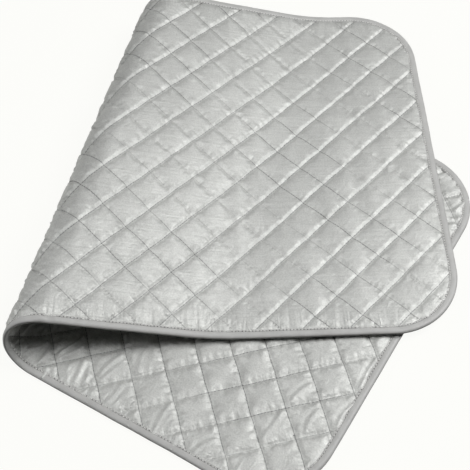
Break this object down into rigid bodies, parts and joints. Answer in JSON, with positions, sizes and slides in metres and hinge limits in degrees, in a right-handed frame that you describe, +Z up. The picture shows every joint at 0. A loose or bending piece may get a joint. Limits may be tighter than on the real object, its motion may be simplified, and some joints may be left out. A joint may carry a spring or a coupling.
{
  "type": "ironing pad",
  "caption": "Quilted ironing pad: a padded mat of coated cloth with rounded corners and a bound edge, folded over on itself in a loose loop, that opens out flat to iron on.",
  "frame": {"origin": "bottom centre of the bounding box of the folded pad, on the table it lies on", "axes": "+X along the lower leaf from the fold to its free end, +Y across it towards the far edge, +Z up"},
  "size_m": [0.5144, 0.6456, 0.0641],
  "materials": {
    "face_cloth": "silver-coated woven cloth, satin",
    "backing_cloth": "silver-coated woven cloth, satin",
    "wadding": "soft white fibre wadding",
    "binding": "matte grey woven bias tape",
    "thread": "grey sewing thread"
  },
  "bodies": {
    "lower_leaf": {"lower_leaf_face_cloth": "face_cloth", "lower_leaf_wadding": "wadding", "lower_leaf_backing_cloth": "backing_cloth", "lower_leaf_binding": "binding", "lower_leaf_binding_face_seam": "thread", "lower_leaf_binding_back_seam": "thread"},
    "fold_strip_1": {"fold_strip_1_face_cloth": "face_cloth", "fold_strip_1_wadding": "wadding", "fold_strip_1_backing_cloth": "backing_cloth", "fold_strip_1_near_binding": "binding", "fold_strip_1_far_binding": "binding", "fold_strip_1_near_binding_face_seam": "thread", "fold_strip_1_far_binding_face_seam": "thread", "fold_strip_1_near_binding_back_seam": "thread", "fold_strip_1_far_binding_back_seam": "thread"},
    "fold_strip_2": {"fold_strip_2_face_cloth": "face_cloth", "fold_strip_2_wadding": "wadding", "fold_strip_2_backing_cloth": "backing_cloth", "fold_strip_2_near_binding": "binding", "fold_strip_2_far_binding": "binding", "fold_strip_2_near_binding_face_seam": "thread", "fold_strip_2_far_binding_face_seam": "thread", "fold_strip_2_near_binding_back_seam": "thread", "fold_strip_2_far_binding_back_seam": "thread"},
    "fold_strip_3": {"fold_strip_3_face_cloth": "face_cloth", "fold_strip_3_wadding": "wadding", "fold_strip_3_backing_cloth": "backing_cloth", "fold_strip_3_near_binding": "binding", "fold_strip_3_far_binding": "binding", "fold_strip_3_near_binding_face_seam": "thread", "fold_strip_3_far_binding_face_seam": "thread", "fold_strip_3_near_binding_back_seam": "thread", "fold_strip_3_far_binding_back_seam": "thread"},
    "sloping_panel": {"sloping_panel_face_cloth": "face_cloth", "sloping_panel_wadding": "wadding", "sloping_panel_backing_cloth": "backing_cloth", "sloping_panel_near_binding": "binding", "sloping_panel_far_binding": "binding", "sloping_panel_near_binding_face_seam": "thread", "sloping_panel_far_binding_face_seam": "thread", "sloping_panel_near_binding_back_seam": "thread", "sloping_panel_far_binding_back_seam": "thread"},
    "upper_leaf": {"upper_leaf_face_cloth": "face_cloth", "upper_leaf_wadding": "wadding", "upper_leaf_backing_cloth": "backing_cloth", "upper_leaf_binding": "binding", "upper_leaf_binding_face_seam": "thread", "upper_leaf_binding_back_seam": "thread"}
  },
  "joints": [
    {"name": "fold_1", "type": "hinge", "parent": "lower_leaf", "child": "fold_strip_1", "pos_m": [-0.16916, -0.07243, 0.00147], "axis": [0.2857, -0.9583, 0], "range_deg": [0, 49.01]},
    {"name": "fold_2", "type": "hinge", "parent": "fold_strip_1", "child": "fold_strip_2", "pos_m": [-0.18637, -0.07756, 0.02214], "axis": [0.2857, -0.9583, 0], "range_deg": [0, 49.01]},
    {"name": "fold_3", "type": "hinge", "parent": "fold_strip_2", "child": "fold_strip_3", "pos_m": [-0.1827, -0.07647, 0.04924], "axis": [0.2857, -0.9583, 0], "range_deg": [0, 49.01]},
    {"name": "fold_4", "type": "hinge", "parent": "fold_strip_3", "child": "sloping_panel", "pos_m": [-0.16069, -0.06991, 0.06414], "axis": [0.2857, -0.9583, 0], "range_deg": [0, 49.01]},
    {"name": "leaf_bend", "type": "hinge", "parent": "sloping_panel", "child": "upper_leaf", "pos_m": [0.01245, -0.01829, 0.00831], "axis": [-0.2857, 0.9583, 0], "range_deg": [0, 16.05]}
  ],
  "couplings": [
    {"joint": "leaf_bend", "follows": "fold_1", "ratio": 0.32738}
  ]
}
